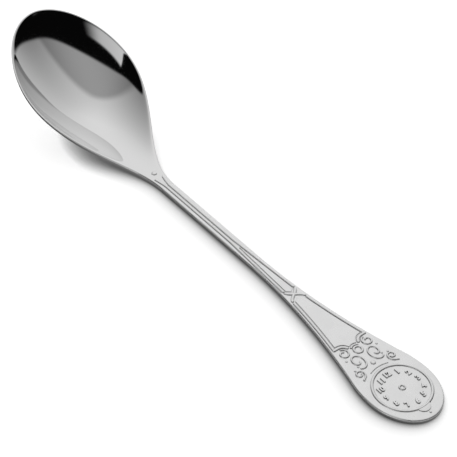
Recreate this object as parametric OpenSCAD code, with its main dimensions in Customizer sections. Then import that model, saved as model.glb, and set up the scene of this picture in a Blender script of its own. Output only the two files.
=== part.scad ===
// Baby spoon in silver: an egg-shaped bowl that rises towards its tip, a slim flat shank and a
// flared terminal with applied reeds, scrolls and a small clock dial.
// Lengths run along X from the bowl tip, and the spoon lies on Z = 0.

/* [Overall] */
// Length from the bowl tip to the handle end
spoon_length = 138; // [125:1:160]
// Thickness of the flat handle
blank_thick = 1.2; // [1:0.1:2]

/* [Bowl] */
// Width across the rim at the widest place
bowl_width = 29; // [22:0.5:36]
// Distance from the tip to the widest place
bowl_front = 19; // [14:0.5:24]
// Length of the taper from the widest place to the neck
bowl_taper = 35; // [28:0.5:42]
// Depth of the hollow below the rim
bowl_depth = 7.3; // [5:0.1:9]
// Wall thickness at the bottom of the bowl
bowl_wall = 1; // [0.7:0.1:1.6]
// Width of the flat ground rim
rim_width = 0.4; // [0.2:0.1:1.2]
// Height of the rim's outer edge
rim_edge = 0.4; // [0.2:0.1:0.8]
// Tilt of the rim above the handle, in degrees
rim_tilt = 25.3; // [12:0.1:30]
// Distance from the tip at which the rim line meets the handle line
rim_meet = 40.5; // [34:0.5:46]
// Half length of the curve that joins the rim line to the handle line
rim_bend = 12.5; // [6:0.5:13]

/* [Shank] */
// Width of the shank
shank_width = 3.4; // [2.6:0.1:5]
// Distance of the neck bead before the neck seam
neck_bead_back = 5.3; // [4.6:0.1:7]
// Radius of the bead at the neck
neck_bead_r = 0.65; // [0.4:0.05:1]

/* [Terminal] */
// Length of the terminal from its seam to the handle end
terminal_length = 44; // [40:0.5:48]
// Width of the terminal at the dial
terminal_width = 15; // [13.5:0.5:20]
// Distance from the handle end to the widest place of the terminal
terminal_round = 9.7; // [8.5:0.1:13]
// Distance from the widest place back to the shoulder, where the flared sides begin
terminal_shoulder = 4.8; // [3.5:0.1:6]
// How much each side has drawn in at the shoulder
shoulder_drop = 0.54; // [0.3:0.02:0.8]
// Length of the flared sides
flare_length = 39.2; // [34:0.1:46]

/* [Relief] */
// Height of the applied reeds, scrolls and rings
relief = 0.3; // [0.15:0.05:0.6]
// Width of the reeds
reed_width = 0.7; // [0.4:0.05:0.8]
// Distance of the reeds from the middle line on the shank
reed_gap = 0.45; // [0.42:0.01:0.6]
// Length of the reeds' start on the neck, before its seam
reed_lead = 3.2; // [2:0.1:3.4]
// Distance of the reeds from the middle line where they start
reed_spread = 1.1; // [0.8:0.05:1.2]
// Length of the stretch on which the reeds splay before the knot
reed_splay = 19; // [12:0.5:24]
// Distance of the reeds from the edge of the terminal
reed_margin = 0.82; // [0.6:0.02:1]
// Distance of the crossed knot from the terminal's seam
knot_start = 2.3; // [1:0.1:4]
// Length of the crossed knot
knot_length = 3.3; // [2.4:0.1:4.2]

/* [Scrolls] */
// Width of the scroll bands
band_width = 0.46; // [0.3:0.02:0.6]
// Distance of the upper scrolls behind the dial
upper_back = 13; // [12.8:0.1:13.6]
// Distance of the upper scrolls from the middle line
upper_out = 3.1; // [3:0.05:3.4]
// Radius of the upper scrolls
upper_r = 1.4; // [1.1:0.05:1.45]
// Distance of the main scrolls behind the dial
main_back = 9.7; // [9.5:0.1:10]
// Distance of the main scrolls from the middle line
main_out = 2.2; // [2.1:0.05:2.4]
// Radius of the main scrolls across the spoon
main_r = 1.6; // [1.35:0.05:1.65]
// How much longer than wide the main scrolls are
main_stretch = 1.3; // [1:0.05:1.35]
// Distance of the lower scrolls behind the dial
lower_back = 7.2; // [7:0.05:7.4]
// Distance of the lower scrolls from the middle line
lower_out = 4.2; // [4.1:0.05:4.4]
// Radius of the lower scrolls at their tails
lower_r = 2.03; // [1.8:0.01:2.1]
// Distance of the scroll ring behind the dial
ring_back = 12.25; // [12.1:0.05:12.4]
// Radius of the scroll ring
ring_r = 1.15; // [0.9:0.05:1.25]
// Radius of the hole in the scroll ring
ring_hole_r = 0.55; // [0.3:0.05:0.7]
// Width of the collar on the panel's side of the scroll ring
collar_width = 0.5; // [0.3:0.05:0.6]
// Distance of the scroll bead behind the dial
bead_back = 8; // [7.6:0.1:8.6]
// Radius of the scroll bead
bead_r = 0.55; // [0.3:0.05:0.7]
// Radius of the open eyes of the scrolls
eye_r = 0.14; // [0.1:0.02:0.2]
// Radius of the small beads
nub_r = 0.24; // [0.15:0.01:0.25]
// Distance behind the dial of the small beads beside the main scrolls
nub_back = 11.25; // [11.1:0.05:11.4]
// Distance of these beads from the middle line
nub_out = 3.95; // [3.9:0.05:4.1]
// Distance behind the dial of the small beads in the main scrolls' curls
curl_back = 8.85; // [8.8:0.01:8.9]
// Distance of these beads from the middle line
curl_out = 3.1; // [3.05:0.01:3.15]
// Distance behind the dial of the small beads beside the lower scrolls
tail_nub_back = 8.45; // [8.4:0.05:8.6]
// Distance of these beads from the middle line
tail_nub_out = 4.3; // [4.2:0.05:4.5]

/* [Dial] */
// Distance of the dial centre from the handle end
dial_back = 8.65; // [8.2:0.05:9.4]
// Inner radius of the dial ring
dial_r = 5.4; // [4.5:0.05:5.5]
// Width of the dial ring
dial_ring_width = 0.65; // [0.4:0.05:0.75]
// Radius of the ring at the dial centre
hub_r = 0.75; // [0.5:0.05:1.2]
// Radius of the hole in the ring at the dial centre
hub_hole_r = 0.32; // [0.2:0.02:0.45]
// Radius of the little ledge at the handle end
ledge_r = 1.45; // [1:0.05:1.6]

/* [Hidden] */
$fn = 64;

silver_bright = "#dfe0e0";
silver_satin = "#c6c8c8";

// Fineness of the bowl: stations before and behind the widest place, and spans across
front_rows = 14;
taper_rows = 22;
spans = 18;
// How full the bowl's tip is, and how fast its hollow runs out towards the neck
tip_power = 1.9;
hollow_power = 1.5;
// Step of the points along edges and reeds
edge_step = 2;
turn_step = 12;

// Where the scrolls begin and how far they wind, in degrees
upper_from = 180;
upper_turn = 420;
main_from = 40;
main_turn = -450;
lower_from = 15;
lower_turn = -480;
// How slowly the scrolls begin to wind in
upper_wind = 1.4;
main_wind = 2.2;
lower_wind = 0.35;
// How far the inner turn of the main scrolls moves towards the bowl
main_drift = 0.4;
// Half angle of the collar and of the dial fence, and the end of the panel hooks, in degrees
collar_half = 42;
fence_half = 20;
hook_end = 255;
// Room between applied pieces that run up to each other
seat_gap = 0.05;
// Both sides of the outline meet in one point at the handle end
end_gap = 0.01;

shank_half = shank_width / 2;
bowl_half = bowl_width / 2;
terminal_half = terminal_width / 2;
neck_x = bowl_front + bowl_taper;
plate_x = spoon_length - terminal_length;
wide_x = spoon_length - terminal_round;
shoulder_x = wide_x - terminal_shoulder;
shoulder_half = terminal_half - shoulder_drop;
shoulder_reach = terminal_shoulder / sqrt(1 - pow(shoulder_half / terminal_half, 2));
flare_x = shoulder_x - flare_length;
dial_x = spoon_length - dial_back;
dial_out = dial_r + dial_ring_width;
knot_x = plate_x + knot_start;
knot_end = knot_x + knot_length;
upper_x = dial_x - upper_back;
main_x = dial_x - main_back;
lower_x = dial_x - lower_back;
ring_x = dial_x - ring_back;
// The panel reeds hook round the upper scrolls
hook_r = upper_r + seat_gap + reed_width / 2;
hook_x = upper_x - hook_r;
top_z = blank_thick;
low_relief = relief / 2;

// Height of the rim line: flat over the handle, a curve at the neck, then a straight rise to the tip
function rim_z(x) =
    let (slope = tan(rim_tilt), start = rim_meet + rim_bend, end = rim_meet - rim_bend)
    x > start ? top_z
    : x > end ? top_z + slope * pow(start - x, 2) / (4 * rim_bend)
    : top_z + slope * (rim_meet - x);

// One station of the bowl: fullness from 0 at the tip or neck to 1 at the widest place, how far the
// section has become the plain neck, and the outer and inner distance from the tip
function front_row(turn) =
    [pow(1 - pow(cos(turn), tip_power), 1 / tip_power), 0,
     bowl_front * (1 - cos(turn)), rim_width + (bowl_front - rim_width) * (1 - cos(turn))];
function taper_row(run) =
    let (full = (1 + cos(180 * run / bowl_taper)) / 2)
    [full, 1 - full, bowl_front + run, bowl_front + run];

rows = concat(
    [for (i = [1:front_rows]) front_row(90 * i / front_rows)],
    [for (i = [1:taper_rows]) taper_row(bowl_taper * i / taper_rows)]);
last_row = len(rows) - 1;
across = [for (j = [0:spans]) 2 * j / spans - 1];

function half_at(row, rim) =
    row[1] > 0 ? shank_half + (bowl_half - rim - shank_half) * row[0] : (bowl_half - rim) * row[0];
function edge_at(row) = rim_edge + (blank_thick - rim_edge) * row[1];
function wall_at(row) =
    row[1] > 0 ? bowl_wall + (blank_thick - bowl_wall) * row[1]
    : rim_edge + (bowl_wall - rim_edge) * row[0];
function hollow_at(row) = bowl_depth * pow(row[0], hollow_power);

function inner_point(row, s) =
    [row[3], s * half_at(row, rim_width), rim_z(row[3]) - hollow_at(row) * (1 - s * s)];
function outer_point(row, s) =
    [row[2], s * half_at(row, 0),
     rim_z(row[2]) - edge_at(row) - (hollow_at(row) + wall_at(row) - edge_at(row)) * (1 - s * s)];
function rim_point(row, s) = [row[2], s * half_at(row, 0), rim_z(row[2])];

// Half width of the handle: straight shank, flared sides, round shoulder and end
function handle_half(x) =
    let (reach = x < wide_x ? shoulder_reach : terminal_round)
    x < flare_x ? shank_half
    : x < shoulder_x ? shank_half + (shoulder_half - shank_half) * pow((x - flare_x) / flare_length, 2)
    : terminal_half * sqrt(max(0, 1 - pow((x - wide_x) / reach, 2)));

function steps(a, b, step) = let (n = max(1, ceil((b - a) / step))) [for (i = [0:n]) a + (b - a) * i / n];
function edge_points(xs) =
    concat([for (x = xs) [x, x < spoon_length - end_gap ? handle_half(x) : 0]],
           [for (x = reversed(xs)) if (x < spoon_length - end_gap) [x, -handle_half(x)]]);

// Sides of a band of even width along a line of points
function along(pts, i) =
    let (a = pts[max(0, i - 1)], b = pts[min(len(pts) - 1, i + 1)], d = b - a) d / norm(d);
function band_side(pts, offset) =
    [for (i = [0:len(pts) - 1]) let (d = along(pts, i)) pts[i] + offset * [-d[1], d[0]]];
function reversed(list) = [for (i = [len(list) - 1:-1:0]) list[i]];

module band(pts, width, height) {
    translate([0, 0, top_z])
        linear_extrude(height)
            polygon(concat(band_side(pts, width / 2), reversed(band_side(pts, -width / 2))));
}

// Points of a volute that winds inwards from its outer radius to its eye
function volute(centre, from, turn, r, wind, stretch = 1, drift = 0) =
    let (r_out = r - band_width / 2, r_in = eye_r + band_width / 2)
    [for (a = steps(0, abs(turn), turn_step))
        let (share = a / abs(turn), r = r_out + (r_in - r_out) * pow(share, wind), at = from + sign(turn) * a)
        centre - [drift * share, 0] + r * [stretch * cos(at), sin(at)]];

// Low dome with its flat base on the given height
module dome(x, y, r, height, base) {
    ball_r = (r * r + height * height) / (2 * height);
    translate([x, y, base])
        intersection() {
            translate([0, 0, height - ball_r]) sphere(ball_r);
            translate([-r, -r, 0]) cube([2 * r, 2 * r, height]);
        }
}

module ring(x, r_out, r_in, height) {
    translate([x, 0, top_z])
        difference() {
            cylinder(r = r_out, h = height);
            translate([0, 0, -height]) cylinder(r = r_in, h = 3 * height);
        }
}

// Arc of a flat ring on the side towards the bowl
module arc(x, r, width, half_angle, height) {
    translate([x, 0, top_z])
        rotate([0, 0, 180 - half_angle])
            rotate_extrude(angle = 2 * half_angle)
                translate([r, 0]) square([width, height]);
}

// The left side is the side towards -Y
module on_left() {
    mirror([0, 1, 0]) children();
}

// The spoon's middle lies over the origin
module placed() {
    translate([-spoon_length / 2, 0, 0]) children();
}

module bowl() {
    per_row = spans + 1;
    row_count = len(rows);
    inner_at = 3;
    outer_at = inner_at + row_count * per_row;
    rim_at = outer_at + row_count * per_row;
    tip = front_row(0);
    tip_inner = inner_point(tip, 0);
    tip_outer = outer_point(tip, 0);
    tip_rim = rim_point(tip, 0);
    points = concat(
        [tip_inner, tip_outer, tip_rim],
        [for (row = rows) for (s = across) inner_point(row, s)],
        [for (row = rows) for (s = across) outer_point(row, s)],
        [for (row = rows) for (s = [-1, 1]) rim_point(row, s)]);
    function inner(i, j) = inner_at + i * per_row + j;
    function outer(i, j) = outer_at + i * per_row + j;
    function rim(i, side) = rim_at + 2 * i + side;
    skins = [for (i = [0:last_row - 1]) for (j = [0:spans - 1]) each [
        [inner(i, j), inner(i, j + 1), inner(i + 1, j + 1)],
        [inner(i, j), inner(i + 1, j + 1), inner(i + 1, j)],
        [outer(i, j), outer(i + 1, j + 1), outer(i, j + 1)],
        [outer(i, j), outer(i + 1, j), outer(i + 1, j + 1)]]];
    tip_fans = [for (j = [0:spans - 1]) each [
        [0, inner(0, j + 1), inner(0, j)], [1, outer(0, j), outer(0, j + 1)]]];
    tip_rims = [
        [0, inner(0, 0), rim(0, 0)], [0, rim(0, 0), 2], [0, rim(0, 1), inner(0, spans)], [0, 2, rim(0, 1)],
        [1, rim(0, 0), outer(0, 0)], [1, 2, rim(0, 0)], [1, outer(0, spans), rim(0, 1)], [1, rim(0, 1), 2]];
    rims = [for (i = [0:last_row - 1]) each [
        [inner(i, 0), inner(i + 1, 0), rim(i, 0)], [inner(i + 1, 0), rim(i + 1, 0), rim(i, 0)],
        [inner(i, spans), rim(i, 1), inner(i + 1, spans)], [inner(i + 1, spans), rim(i, 1), rim(i + 1, 1)],
        [outer(i, 0), rim(i, 0), outer(i + 1, 0)], [outer(i + 1, 0), rim(i, 0), rim(i + 1, 0)],
        [outer(i, spans), outer(i + 1, spans), rim(i, 1)], [outer(i + 1, spans), rim(i + 1, 1), rim(i, 1)]]];
    seam = [for (j = [0:spans - 1]) each [
        [inner(last_row, j), inner(last_row, j + 1), outer(last_row, j + 1)],
        [inner(last_row, j), outer(last_row, j + 1), outer(last_row, j)]]];
    color(silver_bright)
        placed()
            polyhedron(points, concat(skins, tip_fans, tip_rims, rims, seam));
}

module shank() {
    color(silver_satin)
        placed()
            linear_extrude(blank_thick)
                polygon(edge_points(steps(neck_x, plate_x, edge_step)));
}

module terminal_plate() {
    end_turns = steps(0, 90, turn_step / 2);
    color(silver_satin)
        placed()
            linear_extrude(blank_thick)
                polygon(edge_points(concat(
                    steps(plate_x, wide_x - edge_step / 2, edge_step),
                    [for (a = end_turns) wide_x + terminal_round * sin(a)])));
}

// Height of the hollow's floor along the middle line, near the neck
function neck_z(x) = inner_point(taper_row(x - bowl_front), 0)[2];

module neck_bead() {
    bead_x = neck_x - neck_bead_back;
    slope = atan((neck_z(bead_x - neck_bead_r) - neck_z(bead_x + neck_bead_r)) / (2 * neck_bead_r));
    color(silver_bright)
        placed()
            translate([bead_x, 0, neck_z(bead_x)])
                rotate([0, slope, 0])
                    dome(0, 0, neck_bead_r, neck_bead_r / 2, 0);
}

// The reeds start apart on the neck, draw together at its seam and splay again before the knot
function reed_y(x) =
    let (lead = max(0, neck_x - x) / reed_lead, splay = max(0, x - (knot_x - reed_splay)) / reed_splay)
    reed_gap + lead * (reed_spread - reed_gap) + splay * (handle_half(knot_x) - reed_margin - reed_gap);

module shank_reed() {
    line = concat([neck_x - reed_lead], steps(neck_x, knot_x - seat_gap, edge_step));
    color(silver_satin)
        placed()
            band([for (x = line) [x, reed_y(x)]], reed_width, relief);
}

module knot() {
    start_y = reed_y(knot_x);
    end_y = handle_half(knot_end) - reed_margin;
    line = [for (u = steps(0, 1, 0.08))
        let (ease = (1 - cos(180 * u)) / 2)
        [knot_x + u * knot_length, start_y - ease * (start_y + end_y)]];
    color(silver_satin)
        placed() {
            band(line, reed_width, relief);
            mirror([0, 1, 0]) band(line, reed_width, relief);
        }
}

// Reed along the edge of the plain panel, with a hook that turns round the upper scroll
module panel_reed() {
    side = [for (x = steps(knot_end + seat_gap, hook_x, edge_step)) [x, handle_half(x) - reed_margin]];
    corner = [hook_x, handle_half(hook_x) - reed_margin + reed_width / 2];
    hook = [for (a = steps(180, hook_end, turn_step)) [upper_x, upper_out] + hook_r * [cos(a), sin(a)]];
    color(silver_satin)
        placed() {
            band(side, reed_width, relief);
            band(concat([corner], hook), reed_width, relief);
        }
}

module upper_scroll() {
    color(silver_satin)
        placed()
            band(volute([upper_x, upper_out], upper_from, upper_turn, upper_r, upper_wind),
                 band_width, relief);
}

module main_scroll() {
    color(silver_satin)
        placed()
            band(volute([main_x, main_out], main_from, main_turn, main_r, main_wind,
                        main_stretch, main_drift), band_width, relief);
}

module lower_scroll() {
    color(silver_satin)
        placed()
            band(volute([lower_x, lower_out], lower_from, lower_turn, lower_r, lower_wind),
                 band_width, relief);
}

// Ring between the scrolls, with a lower collar on the panel's side
module scroll_ring() {
    color(silver_satin)
        placed() {
            ring(ring_x, ring_r, ring_hole_r, relief);
            arc(ring_x, ring_r - seat_gap, collar_width + seat_gap, collar_half, low_relief);
        }
}

module scroll_bead() {
    color(silver_bright) placed() dome(dial_x - bead_back, 0, bead_r, relief, top_z);
}

// Small beads beside and between the scrolls
module scroll_nubs() {
    color(silver_bright)
        placed()
            for (side = [-1, 1]) {
                dome(dial_x - nub_back, side * nub_out, nub_r, low_relief, top_z);
                dome(dial_x - curl_back, side * curl_out, nub_r, low_relief, top_z);
                dome(dial_x - tail_nub_back, side * tail_nub_out, nub_r, low_relief, top_z);
            }
}

// Thin arc that follows the dial ring on the scrolls' side
module dial_fence() {
    color(silver_satin)
        placed()
            arc(dial_x, dial_out + band_width, band_width / 2, fence_half, low_relief);
}

module dial_ring() {
    color(silver_satin) placed() ring(dial_x, dial_out, dial_r, relief);
}

module dial_hub() {
    color(silver_satin) placed() ring(dial_x, hub_r, hub_hole_r, relief);
}

// Crescent that stands out beyond the dial ring at the handle end
module end_ledge() {
    color(silver_satin)
        placed()
            translate([dial_x, 0, top_z])
                difference() {
                    translate([dial_out - ledge_r / 3, 0, 0]) cylinder(r = ledge_r, h = low_relief);
                    translate([0, 0, -relief]) cylinder(r = dial_out, h = 3 * relief);
                }
}

module end_bead() {
    color(silver_bright) placed() dome(dial_x + dial_out + ledge_r, 0, nub_r, low_relief, top_z);
}

bowl();
shank();
terminal_plate();
neck_bead();
on_left() shank_reed();  // shank_reed_left
shank_reed();  // shank_reed_right
knot();
on_left() panel_reed();  // panel_reed_left
panel_reed();  // panel_reed_right
on_left() upper_scroll();  // upper_scroll_left
upper_scroll();  // upper_scroll_right
scroll_ring();
on_left() main_scroll();  // main_scroll_left
main_scroll();  // main_scroll_right
scroll_bead();
on_left() lower_scroll();  // lower_scroll_left
lower_scroll();  // lower_scroll_right
scroll_nubs();
dial_fence();
dial_ring();
dial_hub();
end_ledge();
end_bead();
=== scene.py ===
import math

import bmesh
import bpy
from mathutils import Matrix, Vector


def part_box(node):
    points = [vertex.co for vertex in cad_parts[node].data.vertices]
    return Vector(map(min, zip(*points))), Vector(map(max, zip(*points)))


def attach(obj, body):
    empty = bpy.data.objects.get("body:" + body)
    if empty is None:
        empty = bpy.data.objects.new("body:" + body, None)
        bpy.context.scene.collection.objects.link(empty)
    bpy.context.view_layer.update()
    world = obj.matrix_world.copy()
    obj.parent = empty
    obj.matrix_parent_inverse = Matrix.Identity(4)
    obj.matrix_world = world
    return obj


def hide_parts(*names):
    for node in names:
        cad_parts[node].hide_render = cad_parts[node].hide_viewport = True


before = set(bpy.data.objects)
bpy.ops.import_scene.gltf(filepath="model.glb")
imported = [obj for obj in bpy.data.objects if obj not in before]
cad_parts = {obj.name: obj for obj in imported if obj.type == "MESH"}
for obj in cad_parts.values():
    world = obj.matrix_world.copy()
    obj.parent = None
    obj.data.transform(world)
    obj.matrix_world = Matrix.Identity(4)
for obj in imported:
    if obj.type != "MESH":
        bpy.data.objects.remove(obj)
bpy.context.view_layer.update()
mm = 0.001
tiny = 1e-9

# lengths below are in millimetres from the bowl tip, and across from the middle line
bowlLow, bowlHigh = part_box("bowl")
_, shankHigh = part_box("shank")
plateLow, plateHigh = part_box("terminal_plate")
dialLow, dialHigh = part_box("dial_ring")
tipX = bowlLow.x
handleTop = shankHigh.z / mm
neckD = (bowlHigh.x - tipX) / mm
plateD = (plateLow.x - tipX) / mm
endD = (plateHigh.x - tipX) / mm
dialD = ((dialLow.x + dialHigh.x) / 2 - tipX) / mm
bowlHalf = bowlHigh.y / mm
plateHalf = plateHigh.y / mm
print("frame:", len(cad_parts), "nodes, length", round(endD, 2), "mm")


def place(d, y, z):
    return Vector((tipX + d * mm, y * mm, z * mm))


def direction(azimuth, height=0.0):
    turn, rise = math.radians(azimuth), math.radians(height)
    return Vector((math.cos(turn) * math.cos(rise), math.sin(turn) * math.cos(rise), math.sin(rise)))


def srgb(hexColour):
    channels = [int(hexColour[i:i + 2], 16) / 255 for i in (1, 3, 5)]
    return tuple(c / 12.92 if c <= 0.04045 else ((c + 0.055) / 1.055) ** 2.4 for c in channels) + (1.0,)


def addNode(tree, kind, settings=None, inputs=None):
    node = tree.nodes.new(kind)
    for key, value in (settings or {}).items():
        setattr(node, key, value)
    for key, value in (inputs or {}).items():
        if isinstance(value, bpy.types.NodeSocket):
            tree.links.new(value, node.inputs[key])
        else:
            node.inputs[key].default_value = value
    return node


def newMaterial(name):
    material = bpy.data.materials.new(name)
    material.use_nodes = True
    tree = material.node_tree
    return material, tree, tree.nodes["Principled BSDF"]


# side is painted shade: a dark colour for the edge, standing for the shaded floor it reflects
polish = {"colour": "#f0f0f0", "side": "#1a1a1a", "roughness": 0.05, "smoothest": 0.6, "roughest": 1.6,
          "hairlineLength": 9.0, "hairlineWidth": 0.12, "hairlineDetail": 3.0,
          "hairlineFrom": 0.35, "hairlineTo": 0.75}


def polishedSilver():
    # buffed sterling silver: a near mirror with the faint hairlines that wiping leaves, drawn coarser than
    # real ones so that they show, and with painted shade on the edge, also where that is seen at a low angle
    material, tree, shader = newMaterial("polishedSilver")
    shader.inputs["Metallic"].default_value = 1.0
    # painted shade: where the wall mask marks the sides, the colour and the tint turn dark
    wall = addNode(tree, "ShaderNodeAttribute", {"attribute_name": "wall"})
    for socket, face in (("Base Color", srgb(polish["colour"])), ("Specular Tint", (1, 1, 1, 1))):
        colour = addNode(tree, "ShaderNodeMix", {"data_type": "RGBA"}, {
            "Factor": wall.outputs["Fac"], "A": face, "B": srgb(polish["side"])})
        tree.links.new(colour.outputs["Result"], shader.inputs[socket])
    coords = addNode(tree, "ShaderNodeTexCoord")
    along, across = 1 / (polish["hairlineLength"] * mm), 1 / (polish["hairlineWidth"] * mm)
    stretch = addNode(tree, "ShaderNodeMapping", {}, {
        "Vector": coords.outputs["Object"], "Scale": (along, across, across)})
    hairlines = addNode(tree, "ShaderNodeTexNoise", {}, {
        "Vector": stretch.outputs["Vector"], "Scale": 1.0, "Detail": polish["hairlineDetail"]})
    spread = addNode(tree, "ShaderNodeMapRange", {}, {
        "Value": hairlines.outputs["Fac"], "From Min": polish["hairlineFrom"], "From Max": polish["hairlineTo"],
        "To Min": polish["roughness"] * polish["smoothest"], "To Max": polish["roughness"] * polish["roughest"]})
    tree.links.new(spread.outputs["Result"], shader.inputs["Roughness"])
    return material


# the crease colour is oxide and painted shade; side is painted shade on the handle's sides
satin = {"colour": "#f6f6f6", "oxideAndShade": "#7c7c7c", "side": "#8a8a8a", "roughness": 0.28, "roughnessVaries": 0.05,
         "grain": 0.25, "grainDetail": 4.0, "grainHeight": 0.05, "bump": 0.06,
         "mottle": 3.0, "mottleDetail": 2.0, "mottleFrom": 0.3, "mottleTo": 0.7,
         "creaseReach": 0.35, "creaseSamples": 12, "creaseFrom": 0.35, "creaseTo": 0.8}


def satinSilver():
    # sterling silver with a matt brushed face, its grain drawn coarser than the real one so that it shows,
    # with the creases darkened by occlusion, partly oxide and partly painted shade, and painted shade on the sides
    material, tree, shader = newMaterial("satinSilver")
    shader.inputs["Metallic"].default_value = 1.0
    coords = addNode(tree, "ShaderNodeTexCoord")
    grain = addNode(tree, "ShaderNodeTexNoise", {}, {
        "Vector": coords.outputs["Object"], "Scale": 1 / (satin["grain"] * mm), "Detail": satin["grainDetail"]})
    mottle = addNode(tree, "ShaderNodeTexNoise", {}, {
        "Vector": coords.outputs["Object"], "Scale": 1 / (satin["mottle"] * mm), "Detail": satin["mottleDetail"]})
    # oxide and painted shade in the creases, found by occlusion
    crease = addNode(tree, "ShaderNodeAmbientOcclusion", {"samples": satin["creaseSamples"]}, {
        "Distance": satin["creaseReach"] * mm})
    clear = addNode(tree, "ShaderNodeMapRange", {}, {
        "Value": crease.outputs["AO"], "From Min": satin["creaseFrom"], "From Max": satin["creaseTo"]})
    face = addNode(tree, "ShaderNodeMix", {"data_type": "RGBA"}, {
        "Factor": clear.outputs["Result"], "A": srgb(satin["oxideAndShade"]), "B": srgb(satin["colour"])})
    # painted shade: the sides marked as wall take a darker colour
    wall = addNode(tree, "ShaderNodeAttribute", {"attribute_name": "wall"})
    colour = addNode(tree, "ShaderNodeMix", {"data_type": "RGBA"}, {
        "Factor": wall.outputs["Fac"], "A": face.outputs["Result"], "B": srgb(satin["side"])})
    tree.links.new(colour.outputs["Result"], shader.inputs["Base Color"])
    spread = addNode(tree, "ShaderNodeMapRange", {}, {
        "Value": mottle.outputs["Fac"], "From Min": satin["mottleFrom"], "From Max": satin["mottleTo"],
        "To Min": satin["roughness"] - satin["roughnessVaries"],
        "To Max": satin["roughness"] + satin["roughnessVaries"]})
    tree.links.new(spread.outputs["Result"], shader.inputs["Roughness"])
    bump = addNode(tree, "ShaderNodeBump", {}, {
        "Height": grain.outputs["Fac"], "Strength": satin["bump"], "Distance": satin["grainHeight"] * mm})
    tree.links.new(bump.outputs["Normal"], shader.inputs["Normal"])
    return material


polished = polishedSilver()
matt = satinSilver()
print("materials ready")

meshing = {"merge": 0.0005, "degenerate": 0.0002, "sharpFrom": 50.0}


def addPiece(name, bm, material, slot, *nodes):
    bmesh.ops.remove_doubles(bm, verts=bm.verts, dist=meshing["merge"] * mm)
    bmesh.ops.dissolve_degenerate(bm, dist=meshing["degenerate"] * mm, edges=bm.edges)
    bmesh.ops.recalc_face_normals(bm, faces=bm.faces)
    for face in bm.faces:
        face.smooth = True
    for edge in bm.edges:
        edge.smooth = edge.calc_face_angle(0) < math.radians(meshing["sharpFrom"])
    mesh = bpy.data.meshes.new(name)
    bm.to_mesh(mesh)
    bm.free()
    piece = bpy.data.objects.new(name, mesh)
    bpy.context.scene.collection.objects.link(piece)
    mesh.materials.append(material)
    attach(piece, "root")
    if nodes:
        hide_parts(*nodes)


def satinPiece(name, bm, *nodes):
    addPiece(name, bm, matt, "satin_silver", *nodes)


def closeHoles(bm):
    bmesh.ops.holes_fill(bm, edges=[e for e in bm.edges if e.is_boundary], sides=0)


edgeTurns = 5  # steps round an edge
outlineFrom = 0.999  # where a grid's outline starts, as a share of its reach


def forged(rows, spans, levels, pointAt, roundAt=0, wallFade=0.0):
    # a top face and an underside from one grid each, joined round their outline by the levels between;
    # roundAt tells which end of the grid is part of the outline, and the outline's sides are marked as wall, where
    # the materials paint shade, less so by wallFade towards the far end
    bm = bmesh.new()
    along = bm.verts.layers.float.new("along")
    across = bm.verts.layers.float.new("across")
    level = bm.verts.layers.int.new("level")
    wall = bm.verts.layers.float.new("wall")
    bmesh.ops.create_grid(bm, x_segments=rows, y_segments=spans, size=1.0)
    for vert in bm.verts:
        vert[along], vert[across] = vert.co.x, vert.co.y
    edge = [e for e in bm.edges if e.is_boundary]
    under = bmesh.ops.duplicate(bm, geom=bm.verts[:] + bm.edges[:] + bm.faces[:])
    for item in under["geom"]:
        if isinstance(item, bmesh.types.BMVert):
            item[level] = levels
    for step in range(1, levels + 1):
        grown = bmesh.ops.extrude_edge_only(bm, edges=edge)["geom"]
        edge = [e for e in grown if isinstance(e, bmesh.types.BMEdge) and e.is_boundary]
        for item in grown:
            if isinstance(item, bmesh.types.BMVert):
                item[level] = step
    for vert in bm.verts:
        vert.co = place(*pointAt(vert[along], vert[across], vert[level]))
        outline = abs(vert[across]) > outlineFrom or roundAt * vert[along] > outlineFrom
        if outline and vert[level] >= edgeTurns:
            vert[wall] = 1.0 - wallFade * max(0.0, vert[along])
    return bm


# square to disc, so that a round end has no pole
def roundEnd(u, v):
    return u * math.sqrt(1 - v * v / 2), v * math.sqrt(1 - u * u / 2)


# draws the rows of a grid together at its edge, where the lip curves tightly
def gather(t):
    return t * (3 - t * t) / 2


bowlShape = {"front": 19.0, "depth": 7.3, "wall": 1.0, "rimWidth": 0.3, "rimEdge": 0.5, "edgeRound": 0.1,
             "lip": 0.03, "steep": 0.45, "steepTip": 0.5, "steepBack": 6, "steepTurn": 8,
             "rimTilt": 25.3, "rimMeet": 40.5, "rimBend": 15.5, "tipPower": 1.9, "hollowPower": 1.5,
             "wallFade": 0.45, "rows": 150, "spans": 72}
handleShape = {"shankHalf": 1.7, "endRound": 9.7, "shoulder": 4.8, "shoulderDrop": 0.54, "flare": 39.2,
               "edgeRound": 0.35, "underIn": 0.4, "underUp": 0.6, "underStart": 0.15, "underGrow": 16.0,
               "shankRows": 40, "shankSpans": 8, "plateRows": 120, "plateSpans": 36}

wideD = endD - handleShape["endRound"]
shoulderD = wideD - handleShape["shoulder"]
flareD = shoulderD - handleShape["flare"]
shoulderHalf = plateHalf - handleShape["shoulderDrop"]
shoulderReach = handleShape["shoulder"] / math.sqrt(1 - (shoulderHalf / plateHalf) ** 2)


# a straight rise to the tip, with one smooth bend down to the handle
def rimHeight(d):
    slope = math.tan(math.radians(bowlShape["rimTilt"]))
    bend = bowlShape["rimBend"]
    t = (d - bowlShape["rimMeet"] + bend) / (2 * bend)
    if t <= 0:
        return handleTop + slope * (bowlShape["rimMeet"] - d)
    if t >= 1:
        return handleTop
    return handleTop + slope * 2 * bend * (0.5 - t + t ** 3 - t ** 4 / 2)


# how far a level of the edge lies in from the outline, and how far below the top
def edgeLevel(level, rimWidth, edgeRound):
    if level == 0:
        return rimWidth, 0.0
    turn = math.radians(90 * min(level - 1, edgeTurns) / edgeTurns)
    return edgeRound * (1 - math.sin(turn)), edgeRound * (1 - math.cos(turn))


bowlLevels = edgeTurns + 2


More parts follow.
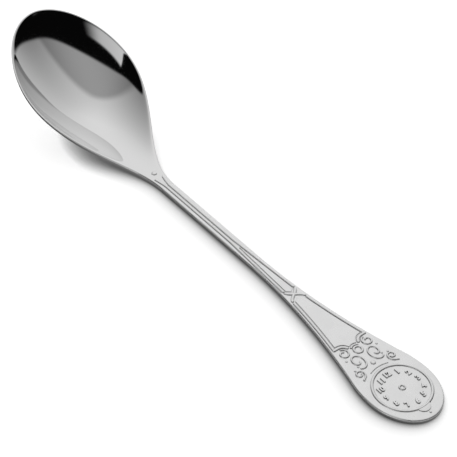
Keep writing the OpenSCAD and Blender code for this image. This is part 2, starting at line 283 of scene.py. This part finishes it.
# depth of the hollow, with a soft lip where it meets the rim and a steeper wall just below, less so towards the neck
def hollowAt(full, side, tip=False):
    sag = full ** bowlShape["hollowPower"] * (1 - side * side)
    lip = bowlShape["lip"]
    share = full ** bowlShape["steepTip" if tip else "steepBack"]
    steep = bowlShape["steep"] * share * (1 - max(0.0, 1 - sag) ** bowlShape["steepTurn"])
    return bowlShape["depth"] * (math.hypot(sag, lip) - lip) / (math.hypot(1, lip) - lip) + steep


def bowlPoint(u, v, level):
    shape = bowlShape
    v = gather(v)
    full = (1 + math.cos(math.pi * max(0.0, u))) / 2
    plain = 1 - full
    edgeRound = shape["edgeRound"] * full + handleShape["edgeRound"] * plain
    inset, drop = edgeLevel(level, shape["rimWidth"] * full + edgeRound * plain, edgeRound)
    if u < 0:
        along, across = roundEnd(gather(u), v)
        reach = math.hypot(along, across)
        power = shape["tipPower"]
        if reach > 0:
            fit = reach / (abs(along) ** power + abs(across) ** power) ** (1 / power)
            along, across = along * fit, across * fit
        full = max(0.0, 1 - abs(along) ** power) ** (1 / power)
        side = min(1.0, abs(across) / full) if full > tiny else 1.0
        d = shape["front"] + (shape["front"] - inset) * along
        y = (bowlHalf - inset) * across
        wall = shape["rimEdge"] + (shape["wall"] - shape["rimEdge"]) * full
    else:
        d = shape["front"] + (neckD - shape["front"]) * u
        shankHalf = handleShape["shankHalf"]
        y = v * (shankHalf + (bowlHalf - shankHalf) * full - inset)
        side = abs(v)
        wall = shape["wall"] + (handleTop - shape["wall"]) * plain
    if level == bowlLevels:
        hollow = shape["depth"] * full ** shape["hollowPower"]
        edge = shape["rimEdge"] + (handleTop - shape["rimEdge"]) * plain
        return d, y, rimHeight(d) - edge - (hollow + wall - edge) * (1 - side * side)
    if level == 0:
        return d, y, rimHeight(d) - hollowAt(full, side, u < 0)
    return d, y, rimHeight(d) - drop


# height of the bowl's inner face near the neck, and of the handle behind it
def neckFloor(d, y):
    if d >= neckD:
        return handleTop
    full = (1 + math.cos(math.pi * (d - bowlShape["front"]) / (neckD - bowlShape["front"]))) / 2
    half = handleShape["shankHalf"] + (bowlHalf - handleShape["shankHalf"]) * full
    return rimHeight(d) - hollowAt(full, min(1.0, abs(y) / half))


def handleHalf(d):
    if d < flareD:
        return handleShape["shankHalf"]
    if d < shoulderD:
        rise = shoulderHalf - handleShape["shankHalf"]
        return handleShape["shankHalf"] + rise * ((d - flareD) / handleShape["flare"]) ** 2
    reach = shoulderReach if d < wideD else handleShape["endRound"]
    return plateHalf * math.sqrt(max(0.0, 1 - ((d - wideD) / reach) ** 2))


handleLevels = 2 * edgeTurns + 2


# crisp at the top and well rounded at the underside, which starts at the neck
def handleLevel(level, d):
    inset, drop = edgeLevel(min(level, edgeTurns + 1), handleShape["edgeRound"], handleShape["edgeRound"])
    if level > edgeTurns + 1:
        turn = math.radians(90 * (level - edgeTurns - 1) / (edgeTurns + 1))
        grown = min(1.0, handleShape["underStart"] + (d - neckD) / handleShape["underGrow"])
        inset = grown * handleShape["underIn"] * (1 - math.cos(turn))
        drop = handleTop - grown * handleShape["underUp"] * (1 - math.sin(turn))
    return inset, drop


def shankPoint(u, v, level):
    d = neckD + (plateD - neckD) * (u + 1) / 2
    inset, drop = handleLevel(level, d)
    return d, v * (handleHalf(d) - inset), handleTop - drop


def platePoint(u, v, level):
    inset, drop = handleLevel(level, plateD)
    if u < 0:
        d = plateD + (wideD - plateD) * (u + 1)
        return d, v * (handleHalf(d) - inset), handleTop - drop
    along, across = roundEnd(u, v)
    return wideD + (handleShape["endRound"] - inset) * along, (plateHalf - inset) * across, handleTop - drop


bowl = forged(bowlShape["rows"], bowlShape["spans"], bowlLevels, bowlPoint, -1, bowlShape["wallFade"])
addPiece("bowlShell", bowl, polished, "polished_silver", "bowl")
shank = forged(handleShape["shankRows"], handleShape["shankSpans"], handleLevels, shankPoint)
satinPiece("shankBar", shank, "shank")
plate = forged(handleShape["plateRows"], handleShape["plateSpans"], handleLevels, platePoint, 1)
satinPiece("terminalPlate", plate, "terminal_plate")
print("blank ready: bowl, shank and terminal plate")

relief = {"height": 0.22, "low": 0.15, "sink": 0.03, "fullness": 1.5, "profileSteps": 12, "endSteps": 5, "step": 0.12,
          "ringSteps": 96, "arcSteps": 12, "beadSegments": 24, "beadRings": 16}


def bandStations(path, width):
    # even steps along the path, with closer ones where the ends round off
    ways = [Vector((b[0] - a[0], b[1] - a[1])).normalized() for a, b in zip(path, path[1:])]
    lengths = [0.0]
    for a, b in zip(path, path[1:]):
        lengths.append(lengths[-1] + math.hypot(b[0] - a[0], b[1] - a[1]))
    total = lengths[-1]
    half = width / 2
    ends = [half * (1 - math.cos(math.pi / 2 * k / relief["endSteps"])) for k in range(relief["endSteps"])]
    count = max(2, int((total - width) / relief["step"]))
    middles = [half + (total - width) * k / count for k in range(count + 1)]
    stations = []
    for length in ends + middles + [total - e for e in reversed(ends)]:
        k = max(i for i in range(len(ways)) if lengths[i] <= length + tiny)
        share = (length - lengths[k]) / (lengths[k + 1] - lengths[k])
        first = (ways[k] + ways[k - 1]).normalized() if k else ways[k]
        last = (ways[k] + ways[k + 1]).normalized() if k < len(ways) - 1 else ways[k]
        tangent = first.lerp(last, share).normalized()
        near = min(length, total - length)
        scale = math.sqrt(max(0.0, 1 - (1 - near / half) ** 2)) if near < half else 1.0
        a, b = path[k], path[k + 1]
        stations.append((a[0] + (b[0] - a[0]) * share, a[1] + (b[1] - a[1]) * share, -tangent.y, tangent.x, scale))
    return stations


def reliefBand(bm, path, width, height):
    # low cushioned wire laid on the spoon
    stations = bandStations(path, width)
    steps = relief["profileSteps"]
    strip = bmesh.ops.create_grid(bm, x_segments=len(stations) - 1, y_segments=steps + 2, size=1.0)["verts"]
    for vert in strip:
        d, y, outD, outY, scale = stations[round((vert.co.x + 1) / 2 * (len(stations) - 1))]
        k = round((vert.co.y + 1) / 2 * (steps + 2))
        if 1 <= k <= steps + 1:
            turn = math.pi * (k - 1) / steps
            offset, rise = width / 2 * math.cos(turn), height * math.sin(turn) ** relief["fullness"]
        else:
            offset, rise = (width / 2 if k == 0 else -width / 2), -relief["sink"]
        vert.co = place(d + outD * offset * scale, y + outY * offset * scale, neckFloor(d, y) + rise * scale)
    bmesh.ops.remove_doubles(bm, verts=strip, dist=meshing["merge"] * mm)
    closeHoles(bm)  # the underside


def bead(bm, d, y, radius, height):
    ball = bmesh.ops.create_uvsphere(bm, u_segments=relief["beadSegments"], v_segments=relief["beadRings"], radius=1.0)
    baseZ = neckFloor(d, y)
    for vert in ball["verts"]:
        x, across, up = vert.co
        vert.co = place(d + radius * x, y + radius * across, baseZ + (height * up if up > 0 else relief["sink"] * up))


def ringWire(bm, d, inner, outer, height, halfAngle=180):
    # the same profile spun about a centre on the middle line, all the way or so far to each side of the bowl's way
    steps = relief["profileSteps"]
    middle, half = (inner + outer) / 2, (outer - inner) / 2
    profile = [bm.verts.new(place(d + middle + half, 0, handleTop - relief["sink"]))]
    for k in range(steps + 1):
        turn = math.pi * k / steps
        rise = height * math.sin(turn) ** relief["fullness"]
        profile.append(bm.verts.new(place(d + middle + half * math.cos(turn), 0, handleTop + rise)))
    profile.append(bm.verts.new(place(d + middle - half, 0, handleTop - relief["sink"])))
    edges = [bm.edges.new(pair) for pair in zip(profile, profile[1:] + profile[:1])]
    centre = place(d, 0, handleTop)
    angle = 2 * math.radians(halfAngle)
    full = halfAngle == 180
    if not full:
        start = Matrix.Rotation(math.pi - math.radians(halfAngle), 3, "Z")
        bmesh.ops.rotate(bm, verts=profile, cent=centre, matrix=start)
    bmesh.ops.spin(bm, geom=profile + edges, cent=centre, axis=(0, 0, 1), angle=angle, use_merge=full,
                   steps=max(relief["arcSteps"], int(relief["ringSteps"] * angle / (2 * math.pi))))
    if not full:
        closeHoles(bm)


def mirrored(path, side):
    return [(d, side * y) for d, y in path]


sides = {"Left": -1, "Right": 1}
reeds = {"width": 0.74, "gap": 0.45, "lead": 3.5, "leadCurve": 1.3, "spread": 1.1, "splay": 19.0, "margin": 0.82,
         "shankSteps": 120, "panelSteps": 30, "hookGap": 0.05, "hookFrom": 180, "hookTo": 255, "hookStep": 5}
knotShape = {"start": 2.3, "length": 3.3, "steps": 24}
knotD = plateD + knotShape["start"]
knotEnd = knotD + knotShape["length"]


# spread on the neck, close on the shank, and splayed out to the knot
def reedY(d):
    lead = max(0.0, neckD - d) / reeds["lead"]
    splay = max(0.0, d - (knotD - reeds["splay"])) / reeds["splay"]
    spread = lead ** reeds["leadCurve"] * (reeds["spread"] - reeds["gap"])
    return reeds["gap"] + spread + splay * (handleHalf(knotD) - reeds["margin"] - reeds["gap"])


reedStart = neckD - reeds["lead"]
reedRun = [reedStart + k * (knotD - reedStart) / reeds["shankSteps"] for k in range(reeds["shankSteps"] + 1)]
for name, side in sides.items():
    bm = bmesh.new()
    reliefBand(bm, mirrored([(d, reedY(d)) for d in reedRun], side), reeds["width"], relief["height"])
    satinPiece("shankReed" + name, bm, "shank_reed_" + name.lower())

bm = bmesh.new()
startY, endY = reedY(knotD), handleHalf(knotEnd) - reeds["margin"]
crossing = []
for k in range(knotShape["steps"] + 1):
    share = (1 - math.cos(math.pi * k / knotShape["steps"])) / 2
    crossing.append((knotD + knotShape["length"] * k / knotShape["steps"], startY - (startY + endY) * share))
for side in sides.values():
    reliefBand(bm, mirrored(crossing, side), reeds["width"], relief["height"])
satinPiece("knot", bm, "knot")

scrolls = {"band": 0.46, "eye": 0.14, "degreeStep": 5,
           "upper": {"back": 13.0, "out": 3.1, "radius": 1.4, "start": 180, "turn": 420, "wind": 1.4,
                     "stretch": 1.0, "drift": 0.0},
           "main": {"back": 9.7, "out": 2.2, "radius": 1.6, "start": 40, "turn": -450, "wind": 2.2,
                    "stretch": 1.3, "drift": 0.4},
           "lower": {"back": 7.2, "out": 4.2, "radius": 2.03, "start": 15, "turn": -480, "wind": 0.35,
                     "stretch": 1.0, "drift": 0.0}}
upperD = dialD - scrolls["upper"]["back"]
hookRadius = scrolls["upper"]["radius"] + reeds["hookGap"] + reeds["width"] / 2
hookD = upperD - hookRadius

# along the panel's edge, then in and round the upper scroll
panelRun = [knotEnd + (hookD - knotEnd) * k / reeds["panelSteps"] for k in range(reeds["panelSteps"] + 1)]
panelEdge = [(d, handleHalf(d) - reeds["margin"]) for d in panelRun]
hook = [(hookD, handleHalf(hookD) - reeds["margin"] + reeds["width"] / 2)]
for degrees in range(reeds["hookFrom"], reeds["hookTo"] + 1, reeds["hookStep"]):
    turn = math.radians(degrees)
    hook.append((upperD + hookRadius * math.cos(turn), scrolls["upper"]["out"] + hookRadius * math.sin(turn)))
for name, side in sides.items():
    bm = bmesh.new()
    for path in (panelEdge, hook):
        reliefBand(bm, mirrored(path, side), reeds["width"], relief["height"])
    satinPiece("panelReed" + name, bm, "panel_reed_" + name.lower())


# winds in from the outer turn to the eye
def volute(shape):
    outer, inner = shape["radius"] - scrolls["band"] / 2, scrolls["eye"] + scrolls["band"] / 2
    count = int(abs(shape["turn"]) / scrolls["degreeStep"])
    path = []
    for k in range(count + 1):
        share = k / count
        r = outer + (inner - outer) * share ** shape["wind"]
        turn = math.radians(shape["start"] + shape["turn"] * share)
        d = dialD - shape["back"] - shape["drift"] * share + shape["stretch"] * r * math.cos(turn)
        path.append((d, shape["out"] + r * math.sin(turn)))
    return path


for kind in ("upper", "main", "lower"):
    for name, side in sides.items():
        bm = bmesh.new()
        reliefBand(bm, mirrored(volute(scrolls[kind]), side), scrolls["band"], relief["height"])
        satinPiece(kind + "Scroll" + name, bm, kind + "_scroll_" + name.lower())

ringShape = {"back": 12.25, "radius": 1.15, "hole": 0.55, "collar": 0.5, "collarHalf": 42, "collarRise": 0.8}
ringD = dialD - ringShape["back"]
collarRadius = ringShape["radius"] + ringShape["collar"]
bm = bmesh.new()
ringWire(bm, ringD, ringShape["hole"], ringShape["radius"], relief["height"])
ringWire(bm, ringD, ringShape["radius"], collarRadius, relief["height"] * ringShape["collarRise"],
         ringShape["collarHalf"])
satinPiece("scrollRing", bm, "scroll_ring")

beads = {"neckBack": 5.3, "neckRadius": 0.65, "neckHeight": 0.25, "scrollBack": 8.0, "scrollRadius": 0.55, "nub": 0.24,
         "nubPlaces": ((11.25, 3.95), (8.85, 3.1), (8.45, 4.3))}
bm = bmesh.new()
bead(bm, neckD - beads["neckBack"], 0, beads["neckRadius"], beads["neckHeight"])
satinPiece("neckBead", bm, "neck_bead")
bm = bmesh.new()
bead(bm, dialD - beads["scrollBack"], 0, beads["scrollRadius"], relief["height"])
satinPiece("scrollBead", bm, "scroll_bead")
bm = bmesh.new()
for side in sides.values():
    for nubBack, nubOut in beads["nubPlaces"]:
        bead(bm, dialD - nubBack, side * nubOut, beads["nub"], relief["low"])
satinPiece("scrollNubs", bm, "scroll_nubs")

dial = {"inner": 5.4, "outer": 6.05, "hub": 0.75, "hubHole": 0.32, "fenceHalf": 20, "ledge": 1.45, "ledgeCut": 5.6,
        "ledgeSegments": 64, "ledgeSoft": 0.06, "ledgeSoftSteps": 3}
bm = bmesh.new()
ringWire(bm, dialD, dial["inner"], dial["outer"], relief["height"])
satinPiece("dialRing", bm, "dial_ring")
bm = bmesh.new()
ringWire(bm, dialD, dial["hubHole"], dial["hub"], relief["height"])
satinPiece("dialHub", bm, "dial_hub")
bm = bmesh.new()
fence = dial["outer"] + scrolls["band"]
ringWire(bm, dialD, fence, fence + scrolls["band"] / 2, relief["low"], dial["fenceHalf"])
satinPiece("dialFence", bm, "dial_fence")

# a low disc a third of its radius inside the dial ring, cut off under the ring
bm = bmesh.new()
ledgeFoot = place(dialD + dial["outer"] - dial["ledge"] / 3, 0, handleTop - relief["sink"])
bmesh.ops.create_circle(bm, cap_ends=True, segments=dial["ledgeSegments"], radius=dial["ledge"] * mm,
                        matrix=Matrix.Translation(ledgeFoot))
raised = bmesh.ops.extrude_face_region(bm, geom=bm.faces[:])["geom"]
bmesh.ops.translate(bm, verts=[item for item in raised if isinstance(item, bmesh.types.BMVert)],
                    vec=(0, 0, (relief["low"] + relief["sink"]) * mm))
bmesh.ops.bevel(bm, geom=[item for item in raised if isinstance(item, bmesh.types.BMEdge)], affect="EDGES",
                offset=dial["ledgeSoft"] * mm, segments=dial["ledgeSoftSteps"], profile=0.5, material=-1)
bmesh.ops.bisect_plane(bm, geom=bm.verts[:] + bm.edges[:] + bm.faces[:],
                       plane_co=place(dialD + dial["ledgeCut"], 0, 0), plane_no=(1, 0, 0), clear_inner=True)
closeHoles(bm)
satinPiece("endLedge", bm, "end_ledge")
bm = bmesh.new()
bead(bm, dialD + dial["outer"] + dial["ledge"], 0, beads["nub"], relief["low"])
satinPiece("endBead", bm, "end_bead")
print("relief ready")

# low raised fields between the reeds, a thin groove away from them
fields = {"height": 0.12, "groove": 0.14, "round": 0.05, "roundShare": 0.3, "shankStart": 80.0, "point": 0.7,
          "leastHalf": 0.01, "endTries": 4, "shankRows": 80, "shankSpans": 10, "panelRows": 60, "panelSpans": 60}
fieldLevels = 3  # two for the soft edge, one for the foot


def fieldEdge(level):
    soft = fields["round"]
    turn = soft * fields["roundShare"]
    return ((soft, 0.0), (turn, turn), (0.0, soft), (0.0, fields["height"] + relief["sink"]))[level]


def shankField(u, v, level):
    inset, drop = fieldEdge(level)
    end = knotD + fields["point"] * (1 - abs(v)) - inset
    d = fields["shankStart"] + (end - fields["shankStart"]) * (u + 1) / 2
    half = reedY(d) - reeds["width"] / 2 - fields["groove"] - inset
    return d, v * max(fields["leastHalf"], half), handleTop + fields["height"] - drop


# the panel ends in arcs round the two hooks and round the scroll ring
def scallop(y):
    hookReach = hookRadius + reeds["width"] / 2 + fields["groove"]
    ringReach = collarRadius + fields["groove"]
    offHook = abs(y) - scrolls["upper"]["out"]
    byHook = upperD - math.sqrt(max(0.0, hookReach ** 2 - offHook ** 2))
    byRing = ringD - math.sqrt(max(0.0, ringReach ** 2 - y ** 2))
    return min(byHook, byRing)


def panelHalf(d):
    return handleHalf(d) - reeds["margin"] - reeds["width"] / 2 - fields["groove"]


def panelField(u, v, level):
    inset, drop = fieldEdge(level)
    start = knotEnd - fields["point"] * (1 - abs(v)) + inset
    end = hookD
    for _ in range(fields["endTries"]):  # the end depends on the width there
        end = scallop(v * panelHalf(end))
    d = start + (end - inset - start) * (u + 1) / 2
    return d, v * (panelHalf(d) - inset), handleTop + fields["height"] - drop


satinPiece("shankField", forged(fields["shankRows"], fields["shankSpans"], fieldLevels, shankField))
satinPiece("panelField", forged(fields["panelRows"], fields["panelSpans"], fieldLevels, panelField))
print("fields ready")

numerals = {"radius": 4.1, "size": 1.62, "raise": 0.18, "bold": 0.052, "bevel": 0.04, "bevelSteps": 2}
bm = bmesh.new()
for hour in range(1, 13):
    turnedSix = hour == 9  # the nine is a six turned round
    font = bpy.data.curves.new("hour", "FONT")
    font.body = "6" if turnedSix else str(hour)
    font.size = numerals["size"] * mm
    font.align_x = "CENTER"
    font.align_y = "CENTER"
    font.extrude = numerals["raise"] * mm
    font.offset = numerals["bold"] * mm
    font.bevel_depth = numerals["bevel"] * mm
    font.bevel_resolution = numerals["bevelSteps"]
    carrier = bpy.data.objects.new("hour", font)
    bpy.context.scene.collection.objects.link(carrier)
    bpy.context.view_layer.update()
    glyph = bpy.data.meshes.new_from_object(carrier.evaluated_get(bpy.context.evaluated_depsgraph_get()))
    bpy.data.objects.remove(carrier)
    points = [vert.co for vert in glyph.vertices]
    middle = (Vector(map(min, *points)) + Vector(map(max, *points))) / 2
    turn = math.radians(30 * hour)
    at = place(dialD - numerals["radius"] * math.cos(turn), numerals["radius"] * math.sin(turn), handleTop)
    upright = Matrix.Rotation(-math.pi / 2 if turnedSix else math.pi / 2, 4, "Z")
    glyph.transform(Matrix.Translation(at) @ upright @ Matrix.Translation(-middle))
    bm.from_mesh(glyph)
    bpy.data.meshes.remove(glyph)
satinPiece("dialNumerals", bm)
print("numerals ready")

stage = {"floor": "#fafafa", "reach": 3.0, "below": 0.02, "roughness": 0.9, "glow": 0.6, "inMetal": 0.5,
         "shadeReach": 4.2, "shadeTilt": 52.0, "shadeSamples": 16}
bm = bmesh.new()
bmesh.ops.create_grid(bm, x_segments=1, y_segments=1, size=stage["reach"])
floorMesh = bpy.data.meshes.new("floor")
bm.to_mesh(floorMesh)
bm.free()
floor = bpy.data.objects.new("floor", floorMesh)
floor.location.z = -stage["below"] * mm
bpy.context.scene.collection.objects.link(floor)

# matt white paper: it is white to the eye and in the metal, with a painted shadow close round the spoon, where
# occlusion looking mostly from behind darkens its colour and glow
paper, paperTree, paperShader = newMaterial("whitePaper")
paperShader.inputs["Roughness"].default_value = stage["roughness"]
paperShader.inputs["Specular IOR Level"].default_value = 0.0
fromBehind = addNode(paperTree, "ShaderNodeCombineXYZ", {}, {
    "Y": math.cos(math.radians(stage["shadeTilt"])), "Z": math.sin(math.radians(stage["shadeTilt"]))})
paintedShadowMask = addNode(paperTree, "ShaderNodeAmbientOcclusion", {"samples": stage["shadeSamples"]}, {
    "Distance": stage["shadeReach"] * mm, "Normal": fromBehind.outputs["Vector"]})
shadowedPaper = addNode(paperTree, "ShaderNodeMix", {"data_type": "RGBA"}, {
    "Factor": paintedShadowMask.outputs["AO"], "A": (0, 0, 0, 1), "B": srgb(stage["floor"])}).outputs["Result"]
paperTree.links.new(shadowedPaper, paperShader.inputs["Base Color"])
paperTree.links.new(shadowedPaper, paperShader.inputs["Emission Color"])
rays = addNode(paperTree, "ShaderNodeLightPath")
mirroredPage = addNode(paperTree, "ShaderNodeMath", {"operation": "MULTIPLY"}, {
    0: rays.outputs["Is Glossy Ray"], 1: stage["inMetal"]})
seen = addNode(paperTree, "ShaderNodeMath", {"operation": "MAXIMUM"}, {
    0: rays.outputs["Is Camera Ray"], 1: mirroredPage.outputs["Value"]})
glow = addNode(paperTree, "ShaderNodeMath", {"operation": "MULTIPLY"}, {0: seen.outputs["Value"], 1: stage["glow"]})
paperTree.links.new(glow.outputs["Value"], paperShader.inputs["Emission Strength"])
floorMesh.materials.append(paper)

# fitted to the photograph: degrees, millimetres and pixels of a frame 457 wide
view = {"azimuth": 51.41, "elevation": 41.52, "roll": 0.766, "distance": 263.63, "aside": -4.441, "down": -0.481,
        "focal": 1203.75, "frame": 457, "targetZ": -0.5, "sensor": 36.0, "nearest": 0.01}
back = direction(view["azimuth"] - 90, view["elevation"])
right = direction(view["azimuth"])
up = back.cross(right)
roll = math.radians(view["roll"])
right, up = math.cos(roll) * right + math.sin(roll) * up, math.cos(roll) * up - math.sin(roll) * right
target = Vector((0, 0, view["targetZ"] * mm))
lens = bpy.data.cameras.new("camera")
lens.sensor_width = view["sensor"]
lens.lens = view["focal"] / view["frame"] * lens.sensor_width
lens.clip_start = view["nearest"]
camera = bpy.data.objects.new("camera", lens)
camera.matrix_world = Matrix((right, up, back)).transposed().to_4x4()
camera.location = target + mm * (view["distance"] * back - view["aside"] * right + view["down"] * up)
bpy.context.scene.collection.objects.link(camera)
bpy.context.scene.camera = camera

# a white tent of two round sheets, bright behind the spoon and grey overhead, that opens on a dark room round
# the camera, which is paler low down for views from the far side; limits are shares of a direction, -1 to 1
tent = {"azimuth": 139.9, "height": 65.6, "reach": 56.8, "wallHeight": 50.0, "wallReach": 60.5,
        "edge": 0.017, "blend": 0.15, "overhead": 0.33, "overheadTo": -0.12, "behind": 0.62, "behindFrom": 0.05,
        "deep": 1.25, "deepFrom": 0.6, "sides": 0.15,
        "room": 0.002, "lowRoom": 0.62, "lowTo": 0.38, "lowFrom": 0.24, "lowStart": -0.2, "lowFull": -0.6}
# a paler wall far to one side, which shows as a patch on the bowl's far side
pane = {"azimuth": -77.0, "start": -0.33, "end": 0.6, "fade": 0.45, "low": 0.2, "high": 0.69, "soft": 0.02,
        "near": 0.6, "far": 0.4, "sideFrom": 0.2, "sideFull": 0.4}
world = bpy.data.worlds.new("studio")
bpy.context.scene.world = world
world.use_nodes = True
tree = world.node_tree
towards = addNode(tree, "ShaderNodeTexCoord").outputs["Generated"]
axes = {"behind": direction(tent["azimuth"]), "aside": direction(tent["azimuth"] + 90),
        "roof": direction(tent["azimuth"], tent["height"]), "wall": direction(tent["azimuth"], tent["wallHeight"]),
        "facing": direction(pane["azimuth"]), "across": direction(pane["azimuth"] + 90), "height": (0, 0, 1)}
ways = {}
for name, axis in axes.items():
    way = addNode(tree, "ShaderNodeVectorMath", {"operation": "DOT_PRODUCT"}, {0: towards, 1: axis})
    ways[name] = way.outputs["Value"]


# dims a light from one direction to another
def faded(light, value, low, high, toLow=0.0, toHigh=1.0, kind="SMOOTHSTEP"):
    fade = addNode(tree, "ShaderNodeMapRange", {"interpolation_type": kind}, {
        "Value": value, "From Min": low, "From Max": high, "To Min": toLow, "To Max": toHigh})
    dimmed = addNode(tree, "ShaderNodeMath", {"operation": "MULTIPLY"}, {0: light, 1: fade.outputs["Result"]})
    return dimmed.outputs["Value"]


sheets = []
for name, reach in (("roof", tent["reach"]), ("wall", tent["wallReach"])):
    inside = addNode(tree, "ShaderNodeMath", {"operation": "SUBTRACT"}, {
        0: ways[name], 1: math.cos(math.radians(reach))})
    sheets.append(inside.outputs["Value"])
sheet = addNode(tree, "ShaderNodeMath", {"operation": "SMOOTH_MAX"}, {0: sheets[0], 1: sheets[1], 2: tent["blend"]})
asideSquared = addNode(tree, "ShaderNodeMath", {"operation": "MULTIPLY"}, {0: ways["aside"], 1: ways["aside"]})
lit = faded(1.0, sheet.outputs["Value"], -tent["edge"], tent["edge"])
lit = faded(lit, ways["behind"], tent["overheadTo"], tent["behindFrom"], tent["overhead"], tent["behind"])
lit = faded(lit, ways["behind"], tent["behindFrom"], tent["deepFrom"], 1.0, tent["deep"], "LINEAR")
lit = faded(lit, asideSquared.outputs["Value"], 0.0, 1.0, 1.0, tent["sides"], "LINEAR")

bearing = addNode(tree, "ShaderNodeMath", {"operation": "DIVIDE"}, {
    0: ways["across"], 1: ways["facing"]}).outputs["Value"]
patch = faded(1.0, ways["facing"], pane["sideFrom"], pane["sideFull"])
patch = faded(patch, ways["height"], pane["low"] - pane["soft"], pane["low"] + pane["soft"])
patch = faded(patch, ways["height"], pane["high"] + pane["soft"], pane["high"] - pane["soft"])
patch = faded(patch, bearing, pane["start"] - pane["soft"], pane["start"] + pane["soft"])
patch = faded(patch, bearing, pane["end"], pane["end"] - pane["fade"])
patch = faded(patch, bearing, pane["start"], pane["end"], pane["near"], pane["far"], "LINEAR")

lowRoom = faded(tent["lowRoom"], ways["height"], tent["lowTo"], tent["lowFrom"])
lowRoom = faded(lowRoom, ways["behind"], tent["lowStart"], tent["lowFull"])
for more in (patch, lowRoom, tent["room"]):
    lit = addNode(tree, "ShaderNodeMath", {"operation": "ADD"}, {0: lit, 1: more}).outputs["Value"]
tree.links.new(lit, tree.nodes["Background"].inputs["Strength"])
tree.nodes["Background"].inputs["Color"].default_value = (1, 1, 1, 1)

# lights the paper and gives the soft shadow; the metal shows the tent alone
paperLamp = {"azimuth": 140.2, "height": 58.0, "spread": 120.0, "strength": 0.6}
lamp = bpy.data.lights.new("paperLamp", "SUN")
lamp.energy = paperLamp["strength"]
lamp.angle = math.radians(paperLamp["spread"])
lampHolder = bpy.data.objects.new("paperLamp", lamp)
lampWay = direction(paperLamp["azimuth"], paperLamp["height"])
lampHolder.rotation_euler = lampWay.to_track_quat("Z", "Y").to_euler()
lampHolder.visible_glossy = False
bpy.context.scene.collection.objects.link(lampHolder)
print("stage ready")

bpy.context.scene.view_settings.view_transform = "Standard"
